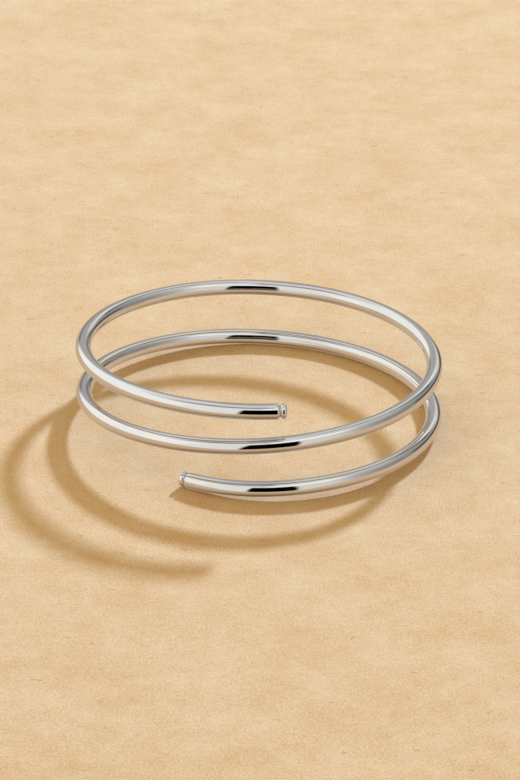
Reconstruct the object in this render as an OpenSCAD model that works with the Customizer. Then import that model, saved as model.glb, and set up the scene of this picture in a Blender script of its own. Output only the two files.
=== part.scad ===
// Spiral bangle: one springy round steel wire coiled a little over two turns,
// with a small round button closing each end. It is drawn as it rests on a floor,
// with both wire ends near the front.

/* [Coil] */
// clear width across the inside of the coil, in mm
inner_d = 60; // [50:0.5:75]
// thickness of the round wire, in mm
wire_d = 2.8; // [2:0.1:3.6]
// how far the wire runs round, in degrees
turn_deg = 750.8; // [640:0.1:780]
// where the lower end of the wire stands, in degrees from the right-hand side
lower_end_deg = -113.7; // [-150:0.1:-60]
// climb of the wire from its lower end to half-way, in mm
half_climb = 7.35; // [6:0.05:12]
// how far round the coil the climb is half done, in degrees
climb_middle_deg = 354.2; // [340:0.1:370]
// how far round from there the climb has eased off to nothing, in degrees
climb_ease_deg = 377.5; // [340:0.5:450]
// how far the lower end is bent in from the round of the coil, in mm
lower_bend_in = 1.35; // [0:0.05:2]
// how far from the lower end that bend starts, in degrees
lower_bend_deg = 30; // [15:0.5:60]

/* [Wire ends] */
// radius of the rounding round each end of the wire, in mm
end_round = 0.45; // [0.1:0.01:0.5]
// diameter of the bore that holds the button, in mm
bore_d = 1.2; // [0.8:0.05:1.2]
// depth of that bore, in mm
bore_depth = 3; // [2.8:0.1:4]

/* [End buttons] */
// diameter of the button, in mm
button_d = 2.6; // [2:0.05:4]
// length of the button, in mm
button_l = 1.2; // [1.05:0.05:2]
// radius of its rounded edges, in mm
button_round = 0.45; // [0.1:0.01:0.45]
// how far its outer face bulges out, in mm
button_dome = 0.1; // [0.02:0.01:0.15]
// diameter of the neck between wire and button, in mm
neck_d = 2; // [1.4:0.05:2.2]
// length of that neck, in mm
neck_l = 0.08; // [0.05:0.01:0.6]
// length of the peg that sits in the bore, in mm
peg_l = 2.6; // [1:0.1:2.7]
// clearance between the button and the wire, in mm
fit_gap = 0.03; // [0.02:0.005:0.06]

/* [Rest] */
// turn about the left-right line that stands the coil on the floor, in degrees
rest_tip_deg = -3.05; // [-6:0.01:2]
// turn about the front-back line that stands the coil on the floor, in degrees
rest_lean_deg = -1.38; // [-4:0.01:4]

/* [Output] */

/* [Hidden] */
wire_r = wire_d / 2;
coil_r = inner_d / 2 + wire_r;
bore_r = bore_d / 2;
// how far the wire is drawn past its ends, to be cut off square there
over_deg = 2;
// reach of the tool that cuts it off, beyond the wire on every side
cut_reach = 2;
steel = [0.78, 0.78, 0.79];
bright = [0.86, 0.86, 0.87];

function unit(v) = v / norm(v);

// a place on the middle line of the wire, before it is stood on the floor
function climb(a) = half_climb * sin(90 * (a - climb_middle_deg) / climb_ease_deg);
function bent_in(a) = lower_bend_in * pow(max(0, 1 - a / lower_bend_deg), 2);
function place(a) =
    let (r = coil_r - bent_in(a))
    [r * cos(lower_end_deg + a), r * sin(lower_end_deg + a), climb(a)];

// the way the wire runs there, past the bend
function way(a) = unit([
    -coil_r * sin(lower_end_deg + a),
    coil_r * cos(lower_end_deg + a),
    half_climb * 90 / climb_ease_deg * cos(90 * (a - climb_middle_deg) / climb_ease_deg)]);

// the same place once the coil stands on the floor, before it is centred
function tipped(p) = [
    p[0],
    p[1] * cos(rest_tip_deg) - p[2] * sin(rest_tip_deg),
    p[1] * sin(rest_tip_deg) + p[2] * cos(rest_tip_deg)];
function leaned(p) = [
    p[0] * cos(rest_lean_deg) + p[2] * sin(rest_lean_deg),
    p[1],
    -p[0] * sin(rest_lean_deg) + p[2] * cos(rest_lean_deg)];
stood = [for (a = [0 : 1 : turn_deg]) leaned(tipped(place(a)))];
across = [for (p = stood) p[0]];
along = [for (p = stood) p[1]];
up = [for (p = stood) p[2]];
to_floor = [
    -(min(across) + max(across)) / 2,
    -(min(along) + max(along)) / 2,
    wire_r - min(up)];

// the wire is one arc for the bend, then quarter turns, each rolled a little from the
// one before, and a last arc of at least 10 degrees
quarters = floor((turn_deg - lower_bend_deg - 10) / 90);

// how far round the coil a quarter turn reaches when it starts at a
function reach(a) =
    let (
        steep = half_climb * 90 / climb_ease_deg / coil_r
            * cos(90 * (a + 45 - climb_middle_deg) / climb_ease_deg))
    90 * (1 + steep * steep / 2);

// the direction from p, with heading t, toward the centre of an arc that meets q
function inward(p, t, q) = let (c = q - p) unit(c - (c * t) * t);

// the roll from one inward direction to the next, with a cosine of six decimals
function roll(n, t, m) =
    let (r = atan2(m * cross(t, n), m * n))
    sign(r) * acos(round(1e6 * cos(r)) / 1e6);
function rolled(n, t, r) = cos(r) * n + sin(r) * cross(t, n);

// a quarter turn: its start, heading, inward direction, radius, place a and roll
function quarter(p, t, n, a, r) = [p, t, n, norm(place(a + reach(a)) - p) / sqrt(2), a, r];
function next(b) =
    let (
        p = b[0] + b[3] * (b[1] + b[2]),
        t = b[2],
        n = -b[1],
        a = b[4] + reach(b[4]),
        r = roll(n, t, inward(p, t, place(a + reach(a)))))
    quarter(p, t, rolled(n, t, r), a, r);
function follow(list, n) =
    n == 0 ? list : follow(concat(list, [next(list[len(list) - 1])]), n - 1);
bend_p = place(lower_bend_deg);
bend_way = way(lower_bend_deg);
first = quarter(
    bend_p, bend_way,
    inward(bend_p, bend_way, place(lower_bend_deg + reach(lower_bend_deg))), lower_bend_deg, 0);
chain = follow([first], quarters);
last = chain[quarters];

// an arc from p, with heading t, to q: its roll from the inward direction n, its radius
// and bend, and its heading at q
function end_arc(p, t, n, q) =
    let (
        c = q - p,
        m = inward(p, t, q),
        r = (c * c) / (2 * (c * m)),
        b = 2 * asin(norm(c) / (2 * r)))
    [roll(n, t, m), r, b, cos(b) * t + sin(b) * m];
low_arc = end_arc(first[0], -first[1], first[2], place(0));
high_arc = end_arc(last[0], last[1], last[2], place(turn_deg));

// frames at o: one from two of its axes, and one whose third axis is z
function frame(o, x, y) =
    let (z = cross(x, y))
    [[x[0], y[0], z[0], o[0]], [x[1], y[1], z[1], o[1]], [x[2], y[2], z[2], o[2]], [0, 0, 0, 1]];
function facing(o, z) = let (x = unit(cross([0, 0, 1], z))) frame(o, x, cross(z, x));

// one arc of round wire, leaving the origin along +Y and bending toward -X
module bend(r, deg) {
    translate([-r, 0, 0])
        rotate_extrude(angle = deg, $fn = 180)
            translate([r, 0])
                circle(r = wire_r, $fn = 48);
}

// quarter turn i and all that comes after it
module rest_of_wire(i) {
    r = chain[i][3];
    bend(r, 90);
    translate([-r, 0, 0])
        rotate([0, 0, 90])
            translate([r, 0, 0])
                rotate([0, chain[i + 1][5], 0])
                    if (i + 1 < quarters)
                        rest_of_wire(i + 1);
                    else
                        rotate([0, high_arc[0], 0])
                            bend(high_arc[1], high_arc[2] + over_deg);
}

// what is cut away beyond an end of the wire, with its rounding and the bore
module end_cut() {
    rotate_extrude($fn = 48)
        polygon(concat(
            [[0, 0]],
            [for (a = [0 : 30 : 60])
                [wire_r - end_round * (1 - sin(a)), end_round * (cos(a) - 1)]],
            [[wire_r + end_round * (1 - sin(60)), -end_round * (1 + cos(60))]],
            [[wire_r + cut_reach, -end_round * (1 + cos(60))]],
            [[wire_r + cut_reach, cut_reach], [0, cut_reach]]));
    translate([0, 0, -bore_depth])
        cylinder(r = bore_r, h = bore_depth + cut_reach, $fn = 48);
}

module stand() {
    translate(to_floor)
        rotate([rest_tip_deg, rest_lean_deg, 0])
            children();
}

module at_lower_end() {
    multmatrix(facing(place(0), low_arc[3]))
        children();
}

module at_upper_end() {
    multmatrix(facing(place(turn_deg), high_arc[3]))
        children();
}

module spiral_wire() {
    color(steel)
        stand()
            difference() {
                multmatrix(frame(first[0], -first[2], first[1])) {
                    rest_of_wire(0);
                    mirror([0, 1, 0])
                        rotate([0, low_arc[0], 0])
                            bend(low_arc[1], low_arc[2] + over_deg);
                }
                at_lower_end() end_cut();
                at_upper_end() end_cut();
            }
}

// button, neck and peg turned from one piece, standing on the end of the wire
module button() {
    back = fit_gap + neck_l;
    front = back + button_l;
    r = button_d / 2;
    face_r = r - button_round;
    dome_r = (face_r * face_r + button_dome * button_dome) / (2 * button_dome);
    rotate_extrude($fn = 64)
        polygon(concat(
            [[0, fit_gap - peg_l], [bore_r - fit_gap, fit_gap - peg_l]],
            [[bore_r - fit_gap, fit_gap], [neck_d / 2, fit_gap], [neck_d / 2, back]],
            [for (a = [-90 : 15 : 0])
                [face_r + button_round * cos(a), back + button_round * (1 + sin(a))]],
            [for (a = [0 : 15 : 90])
                [face_r + button_round * cos(a), front - button_dome - button_round * (1 - sin(a))]],
            [for (k = [1 : 6])
                let (x = face_r * (6 - k) / 6)
                [x, front - dome_r + sqrt(dome_r * dome_r - x * x)]]));
}

module lower_button() {
    color(bright)
        stand()
            at_lower_end() button();
}

module upper_button() {
    color(bright)
        stand()
            at_upper_end() button();
}

spiral_wire();
lower_button();
upper_button();
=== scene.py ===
"""Looks of the spiral bangle: a mirror-polished wire coil with a button on each end,
on a plain pale floor under soft studio lights."""
from collections import namedtuple
import math

import bpy
from mathutils import Matrix, Vector


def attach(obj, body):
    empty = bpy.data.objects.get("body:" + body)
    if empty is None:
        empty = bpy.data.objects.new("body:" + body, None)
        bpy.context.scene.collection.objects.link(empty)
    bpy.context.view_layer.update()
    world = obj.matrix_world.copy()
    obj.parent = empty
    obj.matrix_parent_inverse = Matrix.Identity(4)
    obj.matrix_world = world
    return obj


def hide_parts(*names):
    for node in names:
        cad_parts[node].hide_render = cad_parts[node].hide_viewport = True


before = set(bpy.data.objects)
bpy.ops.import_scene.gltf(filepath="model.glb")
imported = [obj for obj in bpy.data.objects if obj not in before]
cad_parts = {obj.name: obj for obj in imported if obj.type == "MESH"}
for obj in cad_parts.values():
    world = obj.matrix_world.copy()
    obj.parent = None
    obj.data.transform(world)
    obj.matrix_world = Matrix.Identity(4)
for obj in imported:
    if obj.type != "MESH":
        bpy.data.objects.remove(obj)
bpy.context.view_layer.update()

MM = 0.001

# The coil, in millimetres and degrees, as the frame's solids are built.
INNER_D = 60.0
WIRE_R = 1.4
COIL_R = INNER_D / 2 + WIRE_R
TURN_DEG = 750.8
LOWER_END_DEG = -113.7
HALF_CLIMB = 7.35
CLIMB_MIDDLE_DEG = 354.2
CLIMB_EASE_DEG = 377.5
LOWER_BEND_IN = 1.35
LOWER_BEND_DEG = 30.0
REST_TIP_DEG = -3.05
REST_LEAN_DEG = -1.38

# The ends of the wire and the buttons, in millimetres.
END_ROUND = 0.45
BORE_R = 0.6
BORE_DEPTH = 3.0
BUTTON_R = 1.3
BUTTON_L = 1.2
BUTTON_ROUND = 0.45
BUTTON_DOME = 0.1
NECK_R = 1.0
NECK_L = 0.08
PEG_L = 2.6
FIT_GAP = 0.03

# The photograph's frame, in pixels, and where its optical axis meets it.
PHOTO_W = 520
PHOTO_H = 780
AXIS_X = 259.28
AXIS_Y = 367.95
# The camera looks at a point this high over the floor, from this far away. A millimetre
# there covers this many pixels.
LOOK_AT_MM = 10.0
CAMERA_AWAY_MM = 686.2
CAMERA_UP_DEG = 25.63
CAMERA_ROLL_DEG = 1.634
PIXELS_PER_MM = 5.5805
SENSOR_MM = 36.0
CAMERA_NEAR_M = 0.01
CAMERA_FAR_M = 20.0


# The middle line of the wire.

def place(a):
    """A point of the middle line, a degrees from the lower end, before the coil stands."""
    turn = math.radians(LOWER_END_DEG + a)
    r = COIL_R - LOWER_BEND_IN * max(0, 1 - a / LOWER_BEND_DEG) ** 2
    rise = HALF_CLIMB * math.sin(math.radians(90 * (a - CLIMB_MIDDLE_DEG) / CLIMB_EASE_DEG))
    return Vector((r * math.cos(turn), r * math.sin(turn), rise))


def way(a):
    """The direction of the wire there."""
    step_deg = 0.01
    return (place(a + step_deg) - place(a - step_deg)).normalized()


def standing():
    """The matrix that stands the coil on the floor, centred on the origin."""
    turn = (Matrix.Rotation(math.radians(REST_LEAN_DEG), 4, "Y")
            @ Matrix.Rotation(math.radians(REST_TIP_DEG), 4, "X"))
    line = [turn @ place(a) for a in range(int(TURN_DEG) + 1)]
    middle = [(min(p[i] for p in line) + max(p[i] for p in line)) / 2 for i in (0, 1)]
    low = min(p.z for p in line)
    return Matrix.Translation((-middle[0], -middle[1], WIRE_R - low)) @ turn


STAND = standing()


# Meshes.

# the name of the attribute that holds a point's place on the straightened wire
STRAIGHT = "straight"


def object_from(name, mesh_data, straight=None):
    """An object, with the place of each point on the straightened wire if that is given."""
    mesh = bpy.data.meshes.new(name)
    mesh.from_pydata(*mesh_data)
    mesh.update()
    if straight:
        layer = mesh.attributes.new(STRAIGHT, "FLOAT_VECTOR", "POINT")
        for value, point in zip(layer.data, straight):
            value.vector = point
    obj = bpy.data.objects.new(name, mesh)
    bpy.context.scene.collection.objects.link(obj)
    for face in mesh.polygons:
        face.use_smooth = True
    return obj


def rings_to_mesh(rings, closed_tip):
    """Quads between rings of equal length, with a fan at each end, all facing outward."""
    n = len(rings[0])
    verts = [p for ring in rings for p in ring]
    faces = []
    for i in range(len(rings) - 1):
        for k in range(n):
            m = (k + 1) % n
            faces.append((i * n + k, (i + 1) * n + k, (i + 1) * n + m, i * n + m))
    first, last = closed_tip
    verts.append(first)
    verts.append(last)
    for k in range(n):
        m = (k + 1) % n
        faces.append((len(verts) - 2, k, m))
        base = (len(rings) - 1) * n
        faces.append((len(verts) - 1, base + m, base + k))
    return verts, [], faces


# How finely the meshes are drawn, and the bevel at the rim of the bore in millimetres.
WIRE_SIDES = 72
WIRE_STEP_DEG = 0.9
WIRE_ROUND_STEPS = 8
BUTTON_SIDES = 96
BUTTON_STEPS = 12
BORE_BEVEL = 0.02


def quarter_turn(start_deg, steps):
    """The angles, in radians, at equal steps of a quarter turn that begins at start_deg."""
    return [math.radians(start_deg + 90 * k / steps) for k in range(steps + 1)]


def circle(sides):
    """The points of a circle of radius 1, each by its distances along two axes."""
    turns = [2 * math.pi * k / sides for k in range(sides)]
    return [(math.cos(turn), math.sin(turn)) for turn in turns]


def round_places(distance, radius, sides):
    """The places of a ring's points on the straightened wire, which lies along X."""
    return [Vector((distance, radius * x, radius * y)) * MM for x, y in circle(sides)]


def ring(centre, along, radius, sides):
    """A ring of points about the centre, square to the direction along, on the standing coil."""
    up = Vector((0, 0, 1))
    side = (up - up.dot(along) * along).normalized()
    out = along.cross(side)
    return [STAND @ (centre + radius * (x * out + y * side)) * MM for x, y in circle(sides)]


def end_profile():
    """Radius and distance from the wire's end of each ring of the end, from the bore out."""
    rows = [(BORE_R, BORE_DEPTH), (BORE_R, BORE_BEVEL), (BORE_R + BORE_BEVEL, 0.0)]
    rows += [(WIRE_R - END_ROUND * (1 - math.sin(t)), END_ROUND * (1 - math.cos(t)))
             for t in quarter_turn(0, WIRE_ROUND_STEPS)]
    return rows


def wire_mesh():
    """The wire's mesh, and the place of each of its points on the straightened wire."""
    deg_per_mm = math.degrees(1 / COIL_R)
    stations = [(depth * deg_per_mm, radius) for radius, depth in end_profile()]
    count = round(TURN_DEG / WIRE_STEP_DEG)
    margin = END_ROUND * deg_per_mm
    for k in range(1, count):
        stations.append((margin + (TURN_DEG - 2 * margin) * k / count, WIRE_R))
    for radius, depth in reversed(end_profile()):
        stations.append((TURN_DEG - depth * deg_per_mm, radius))
    rings = [ring(place(a), way(a), radius, WIRE_SIDES) for a, radius in stations]
    tips = [STAND @ place(stations[i][0]) * MM for i in (0, -1)]
    straight = []
    for a, radius in stations:
        straight += round_places(a / deg_per_mm, radius, WIRE_SIDES)
    straight += [Vector((stations[i][0] / deg_per_mm * MM, 0, 0)) for i in (0, -1)]
    return rings_to_mesh(rings, tips), straight


def button_profile():
    """Radius and height above the wire's end of each ring of a button, from the peg's foot."""
    back = FIT_GAP + NECK_L
    front = back + BUTTON_L
    face_r = BUTTON_R - BUTTON_ROUND
    dome_r = (face_r ** 2 + BUTTON_DOME ** 2) / (2 * BUTTON_DOME)
    rows = [(BORE_R - FIT_GAP, FIT_GAP - PEG_L), (BORE_R - FIT_GAP, FIT_GAP)]
    rows += [(NECK_R, FIT_GAP), (NECK_R, back)]
    rows += [(face_r + BUTTON_ROUND * math.cos(t), back + BUTTON_ROUND * (1 + math.sin(t)))
             for t in quarter_turn(-90, BUTTON_STEPS)]
    rim = front - BUTTON_DOME
    rows += [(face_r + BUTTON_ROUND * math.cos(t), rim - BUTTON_ROUND * (1 - math.sin(t)))
             for t in quarter_turn(0, BUTTON_STEPS)]
    for k in range(1, BUTTON_STEPS):
        x = face_r * (BUTTON_STEPS - k) / BUTTON_STEPS
        rows.append((x, front - dome_r + math.sqrt(dome_r ** 2 - x ** 2)))
    return rows, front


def button(name, a, sign):
    """A button on the wire at a, facing along the wire or, with a sign of -1, back along it."""
    along = way(a) * sign
    rows, front = button_profile()
    rings = [ring(place(a) + along * h, along, r, BUTTON_SIDES) for r, h in rows]
    foot = rows[0][1]
    tips = [STAND @ (place(a) + along * h) * MM for h in (foot, front)]
    straight = []
    for r, h in rows:
        straight += round_places(h, r, BUTTON_SIDES)
    straight += [Vector((h * MM, 0, 0)) for h in (foot, front)]
    return object_from(name, rings_to_mesh(rings, tips), straight)


# Materials.

def new_material(name):
    material = bpy.data.materials.new(name)
    material.use_nodes = True
    nodes = material.node_tree.nodes
    return material, nodes, material.node_tree.links, nodes["Principled BSDF"]


def noise(nodes, links, vector, stretch, detail=2.0, roughness=0.5):
    """Noise whose grain has the size given in millimetres along each axis of the vector."""
    mapping = nodes.new("ShaderNodeMapping")
    mapping.inputs["Scale"].default_value = [1 / (size * MM) for size in stretch]
    links.new(vector, mapping.inputs["Vector"])
    texture = nodes.new("ShaderNodeTexNoise")
    texture.inputs["Scale"].default_value = 1.0
    texture.inputs["Detail"].default_value = detail
    texture.inputs["Roughness"].default_value = roughness
    links.new(mapping.outputs["Vector"], texture.inputs["Vector"])
    return texture.outputs["Fac"]


def ramp(nodes, links, value, low, high, spread=0.2, centre=0.5):
    """Takes noise within the spread of the centre to values from low to high."""
    scale = nodes.new("ShaderNodeMapRange")
    scale.inputs["From Min"].default_value = centre - spread
    scale.inputs["From Max"].default_value = centre + spread
    scale.inputs["To Min"].default_value = low
    scale.inputs["To Max"].default_value = high
    links.new(value, scale.inputs["Value"])
    return scale.outputs["Result"]


def blend_colours(nodes, links, value, first, second, way_to_mix="MIX"):
    """From the first colour to the second; each is a colour or the output of a node."""
    mix = nodes.new("ShaderNodeMix")
    mix.data_type = "RGBA"
    mix.blend_type = way_to_mix
    for socket, colour in ((mix.inputs["A"], first), (mix.inputs["B"], second)):
        if isinstance(colour, tuple):
            socket.default_value = (*colour, 1)
        else:
            links.new(colour, socket)
    links.new(value, mix.inputs["Factor"])
    return mix.outputs["Result"]


def bump(nodes, links, shader, layers):
    """Bumps one over the other; each layer is a height from 0 to 1 and its depth in mm."""
    normal = None
    for height, depth in layers:
        node = nodes.new("ShaderNodeBump")
        node.inputs["Strength"].default_value = 1.0
        node.inputs["Distance"].default_value = depth * MM
        links.new(height, node.inputs["Height"])
        if normal:
            links.new(normal, node.inputs["Normal"])
        normal = node.outputs["Normal"]
    links.new(normal, shader.inputs["Normal"])


# The steel: its colours, the grain of its film, lines and slow waves in millimetres along
# and across the wire, and the depth of the waves.
BRIGHT_STEEL = (0.80, 0.785, 0.75)
DULL_STEEL = (0.74, 0.72, 0.685)
FILM_GRAIN = (9, 3, 3)
LINE_GRAIN = (12, 0.16, 0.16)
WAVE_GRAIN = (7, 2.2, 2.2)
WAVE_DEPTH = 0.002
# The depth of the lines on the wire and on the buttons, and the range of roughness.
WIRE_LINES = 0.00015
WIRE_ROUGHNESS = (0.03, 0.06)
BUTTON_LINES = 0.00005
BUTTON_ROUGHNESS = (0.14, 0.2)


def polished_steel(name, line_depth, roughness):
    """Mirror-polished steel, with faint lines from drawing and buffing along the wire."""
    material, nodes, links, shader = new_material(name)
    shader.inputs["Metallic"].default_value = 1.0
    place_on = nodes.new("ShaderNodeAttribute")
    place_on.attribute_name = STRAIGHT
    vector = place_on.outputs["Vector"]
    film = noise(nodes, links, vector, FILM_GRAIN)
    lines = noise(nodes, links, vector, LINE_GRAIN)
    waves = noise(nodes, links, vector, WAVE_GRAIN, detail=0.0)
    dulled = ramp(nodes, links, film, 0, 1)
    links.new(blend_colours(nodes, links, dulled, BRIGHT_STEEL, DULL_STEEL),
              shader.inputs["Base Color"])
    links.new(ramp(nodes, links, lines, *roughness), shader.inputs["Roughness"])
    bump(nodes, links, shader, ((waves, WAVE_DEPTH), (lines, line_depth)))
    return material


# The floor: its half width in metres, its colours, the grain and depth of its clouds and
# flecks and the grain of its pits in millimetres, and how much flecks and pits count.
FLOOR_HALF_M = 3.0
FLOOR_COLOURS = ((0.70, 0.48, 0.23), (0.885, 0.85, 0.70))
PIT_COLOUR = (0.60, 0.36, 0.14)
CLOUD_GRAIN = (16, 16, 16)
CLOUD_DEPTH = 0.03
FLECK_GRAIN = (0.4, 0.4, 0.4)
FLECK_DEPTH = 0.008
FLECK_SHARE = 0.6
PIT_GRAIN = (3.5, 2, 2)
PIT_SHARE = 0.6


def pale_floor():
    """Chalky stone: clouds, flecks and a few small pits, whiter at low angles."""
    material, nodes, links, shader = new_material("pale_floor")
    vector = nodes.new("ShaderNodeTexCoord").outputs["Object"]
    clouds = noise(nodes, links, vector, CLOUD_GRAIN, detail=5.0, roughness=0.9)
    flecks = noise(nodes, links, vector, FLECK_GRAIN, detail=2.0, roughness=0.9)
    both = nodes.new("ShaderNodeMix")
    both.inputs["Factor"].default_value = FLECK_SHARE
    links.new(clouds, both.inputs["A"])
    links.new(flecks, both.inputs["B"])
    mottling = ramp(nodes, links, both.outputs["Result"], 0, 1, spread=0.125)
    stone = blend_colours(nodes, links, mottling, *FLOOR_COLOURS)
    pits = noise(nodes, links, vector, PIT_GRAIN, detail=4.0, roughness=0.65)
    pitted = ramp(nodes, links, pits, 0, PIT_SHARE, spread=0.02, centre=0.67)
    links.new(blend_colours(nodes, links, pitted, stone, PIT_COLOUR), shader.inputs["Base Color"])
    shader.inputs["Roughness"].default_value = 0.9
    shader.inputs["Specular IOR Level"].default_value = 0.2
    shader.inputs["Sheen Weight"].default_value = 1.0
    shader.inputs["Sheen Roughness"].default_value = 0.4
    bump(nodes, links, shader, ((clouds, CLOUD_DEPTH), (flecks, FLECK_DEPTH)))
    return material


# The pieces.

def make_pieces():
    coil = object_from("coiled_wire", *wire_mesh())
    coil.data.materials.append(polished_steel("polished_wire", WIRE_LINES, WIRE_ROUGHNESS))
    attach(coil, "root")
    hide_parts("spiral_wire")
    steel = polished_steel("polished_button", BUTTON_LINES, BUTTON_ROUGHNESS)
    for name, a, sign in (("lower", 0.0, -1), ("upper", TURN_DEG, 1)):
        cap = button(name + "_end_button", a, sign)
        cap.data.materials.append(steel)
        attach(cap, "root")
        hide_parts(name + "_button")


# The stage.

def make_floor():
    half = FLOOR_HALF_M
    corners = [(-half, -half, 0), (half, -half, 0), (half, half, 0), (-half, half, 0)]
    floor = object_from("floor", (corners, [], [(0, 1, 2, 3)]))
    floor.data.materials.append(pale_floor())
    # what the object mirrors of the floor is in the studio's world
    floor.visible_glossy = False


def make_camera():
    data = bpy.data.cameras.new("camera")
    data.sensor_width = SENSOR_MM
    data.lens = PIXELS_PER_MM * CAMERA_AWAY_MM * SENSOR_MM / PHOTO_H
    data.shift_x = (PHOTO_W / 2 - AXIS_X) / PHOTO_H
    data.shift_y = (AXIS_Y - PHOTO_H / 2) / PHOTO_H
    data.clip_start = CAMERA_NEAR_M
    data.clip_end = CAMERA_FAR_M
    camera = bpy.data.objects.new("camera", data)
    up = math.radians(CAMERA_UP_DEG)
    back = Vector((0, -math.cos(up), math.sin(up)))
    camera.location = Vector((0, 0, LOOK_AT_MM * MM)) + back * CAMERA_AWAY_MM * MM
    roll = Matrix.Rotation(math.radians(CAMERA_ROLL_DEG), 3, "Z")
    camera.rotation_euler = (back.to_track_quat("Z", "Y").to_matrix() @ roll).to_euler()
    bpy.context.scene.collection.objects.link(camera)
    bpy.context.scene.camera = camera


# A part of the studio that the object sees, by its direction: degrees round from the
# camera's side toward the right, and degrees up. Its edges fade over blur degrees, and it
# falls by fall for each degree toward the right.
Panel = namedtuple("Panel", "name azimuth half_width up half_height blur glow fall",
                   defaults=(0.0,))
OVERHEAD = 0.79
PANELS = (
    Panel("right_wall", 110, 50, 12, 36, 30, 0.30),
    Panel("back_wall", 180, 28, 4, 30, 8, 0.45),
    Panel("back_foot", 180, 30, 2, 8, 5, 0.22),
    Panel("back_gap", -175.5, 6, 45, 14, 4, 0.40),
    Panel("back_strip", 158, 9, 36, 24, 6, 0.80),
    Panel("key_glow", 160, 6, 30, 4, 4, 1.00),
    Panel("right_softbox", 36, 16, 25, 42, 14, 0.78),
    Panel("right_strip", 38, 36, 57, 8, 5, 1.15),
    Panel("left_strip", -35, 32, 54, 6, 4, 0.95),
    Panel("left_softbox", -92, 62, 15, 35, 6, 1.06),
    Panel("left_front", -28, 22, 17, 38, 6, 0.92),
    Panel("ceiling_gap", -40, 58, 72, 9, 4, 0.32, -0.12),
    Panel("right_gap", 145, 12, 70, 12, 5, 0.35),
    Panel("back_edge", 143.5, 5, 44, 18, 2, 0.08),
    Panel("camera_card", 6.25, 17.75, 11.5, 31.5, 2, 0.0),
)
# A dark beam leans across the corner behind the object, also over the ground.
BEAM = Panel("dark_beam", 137, 27, 3.5, 4.5, 3, 0.02, 0.42)
# The ground as the object mirrors it: under it, farther off, and behind it. Under it the
# ground is painted dark: painted shade of the floor where the object shades it. The first
# passes into the second between two angles, and the last is this wide to each side.
SHADED_GROUND_BELOW = (0.22, 0.13, 0.06)
GROUND_BEYOND = (0.735, 0.535, 0.35)
GROUND_BEHIND = (0.60, 0.46, 0.31)
GROUND_FROM_DEG = -80
GROUND_TO_DEG = -26
BEHIND_HALF_DEG = 40
# The studio's foot is near the object on the camera's side, so it dips below the horizon.
DIP_DEG = 17.5
DIP_HALF_DEG = 38
DIP_BLUR_DEG = 20
HORIZON_BLUR_DEG = 1.0
# The studio's light on the floor, against what is seen of the studio: warm walls colour it.
BOUNCE_TINT = (0.90, 0.615, 0.30)


def arc_mask(nodes, links, angle, centre, half, blur, wraps):
    """1 where an angle is within half of the centre, fading to 0; all in degrees."""
    away = combine(nodes, links, "SUBTRACT", angle, math.radians(centre))
    if wraps:
        wrap = nodes.new("ShaderNodeMath")
        wrap.operation = "WRAP"
        links.new(away, wrap.inputs[0])
        wrap.inputs[1].default_value = math.pi
        wrap.inputs[2].default_value = -math.pi
        away = wrap.outputs[0]
    fade = nodes.new("ShaderNodeMapRange")
    fade.interpolation_type = "SMOOTHSTEP"
    fade.inputs["From Min"].default_value = math.radians(half + blur)
    fade.inputs["From Max"].default_value = math.radians(half - blur)
    links.new(combine(nodes, links, "ABSOLUTE", away, 0), fade.inputs["Value"])
    return fade.outputs["Result"]


def fade_up(nodes, links, angle, low, high):
    """0 below one angle and 1 above another, in degrees."""
    fade = nodes.new("ShaderNodeMapRange")
    fade.inputs["From Min"].default_value = math.radians(low)
    fade.inputs["From Max"].default_value = math.radians(high)
    links.new(angle, fade.inputs["Value"])
    return fade.outputs["Result"]


def combine(nodes, links, operation, first, second):
    """The result of a math operation; each value is a number or the output of a node."""
    node = nodes.new("ShaderNodeMath")
    node.operation = operation
    for socket, value in zip(node.inputs, (first, second)):
        if isinstance(value, (int, float)):
            socket.default_value = value
        else:
            links.new(value, socket)
    return node.outputs[0]


def ground(nodes, links, azimuth, up):
    """The colour of the ground in each direction, with painted shade straight under the object.
    """
    # painted shade under the object, fading into the lit ground farther off
    far = fade_up(nodes, links, up, GROUND_FROM_DEG, GROUND_TO_DEG)
    colour = blend_colours(nodes, links, far, SHADED_GROUND_BELOW, GROUND_BEYOND)
    behind = arc_mask(nodes, links, azimuth, 180, BEHIND_HALF_DEG, BEHIND_HALF_DEG / 2, True)
    return blend_colours(nodes, links, combine(nodes, links, "MULTIPLY", behind, far),
                         colour, GROUND_BEHIND)


def panel_mask(nodes, links, panel, azimuth, up):
    """1 on a panel, fading to 0 off it."""
    if panel.fall:
        past = combine(nodes, links, "SUBTRACT", azimuth, math.radians(panel.azimuth))
        up = combine(nodes, links, "ADD", up,
                     combine(nodes, links, "MULTIPLY", past, panel.fall))
    across = arc_mask(nodes, links, azimuth, panel.azimuth, panel.half_width, panel.blur, True)
    upright = arc_mask(nodes, links, up, panel.up, panel.half_height, panel.blur, False)
    return combine(nodes, links, "MULTIPLY", across, upright)


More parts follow.
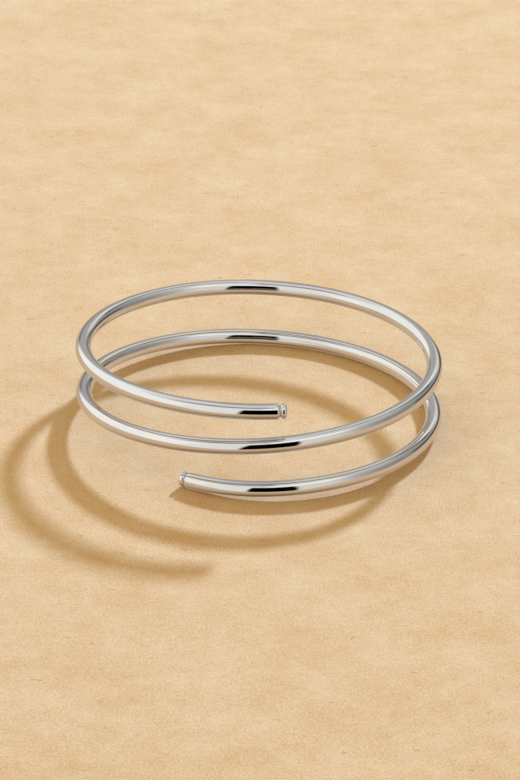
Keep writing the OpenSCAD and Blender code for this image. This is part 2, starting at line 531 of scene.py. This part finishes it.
def make_studio():
    """The ground, walls, softboxes and card round the object, which light and mirror in it."""
    world = bpy.data.worlds.new("studio")
    world.use_nodes = True
    nodes = world.node_tree.nodes
    links = world.node_tree.links
    split = nodes.new("ShaderNodeSeparateXYZ")
    links.new(nodes.new("ShaderNodeTexCoord").outputs["Generated"], split.inputs[0])
    toward_camera = combine(nodes, links, "MULTIPLY", split.outputs["Y"], -1)
    azimuth = combine(nodes, links, "ARCTAN2", split.outputs["X"], toward_camera)
    up = combine(nodes, links, "ARCSINE", split.outputs["Z"], 0)
    glow = None
    for panel in PANELS:
        mix = nodes.new("ShaderNodeMix")
        mix.inputs["A"].default_value = OVERHEAD
        mix.inputs["B"].default_value = panel.glow
        links.new(panel_mask(nodes, links, panel, azimuth, up), mix.inputs["Factor"])
        if glow:
            links.new(glow, mix.inputs["A"])
        glow = mix.outputs["Result"]
    near = arc_mask(nodes, links, azimuth, 0, DIP_HALF_DEG, DIP_BLUR_DEG, True)
    dip = combine(nodes, links, "MULTIPLY", near, math.radians(DIP_DEG))
    above = fade_up(nodes, links, combine(nodes, links, "ADD", up, dip),
                    -HORIZON_BLUR_DEG, HORIZON_BLUR_DEG)
    studio = blend_colours(nodes, links, above, ground(nodes, links, azimuth, up), glow)
    studio = blend_colours(nodes, links, panel_mask(nodes, links, BEAM, azimuth, up),
                           studio, (BEAM.glow,) * 3)
    bounced = nodes.new("ShaderNodeLightPath").outputs["Diffuse Depth"]
    studio = blend_colours(nodes, links, bounced, studio, BOUNCE_TINT, "MULTIPLY")
    links.new(studio, nodes["Background"].inputs["Color"])
    bpy.context.scene.world = world


# Where the key lamp hangs, its radius, its strength and its colour. Its light doesn't fade
# with distance, like that of a lamp far away.
KEY_PLACE_MM = (309.0, 641.5, 420.0)
KEY_RADIUS_MM = 36.0
KEY_ENERGY = 35.2
KEY_COLOUR = (0.772, 0.862, 1.0)


def make_key():
    data = bpy.data.lights.new("key", "POINT")
    data.energy = KEY_ENERGY
    data.color = KEY_COLOUR
    data.shadow_soft_size = KEY_RADIUS_MM * MM
    data.use_nodes = True
    nodes = data.node_tree.nodes
    falloff = nodes.new("ShaderNodeLightFalloff")
    falloff.inputs["Strength"].default_value = 1.0
    data.node_tree.links.new(falloff.outputs["Constant"], nodes["Emission"].inputs["Strength"])
    key = bpy.data.objects.new("key", data)
    key.location = Vector(KEY_PLACE_MM) * MM
    key.visible_glossy = False
    bpy.context.scene.collection.objects.link(key)


make_camera()
make_floor()
make_pieces()
make_studio()
make_key()
bpy.context.scene.view_settings.view_transform = "Standard"
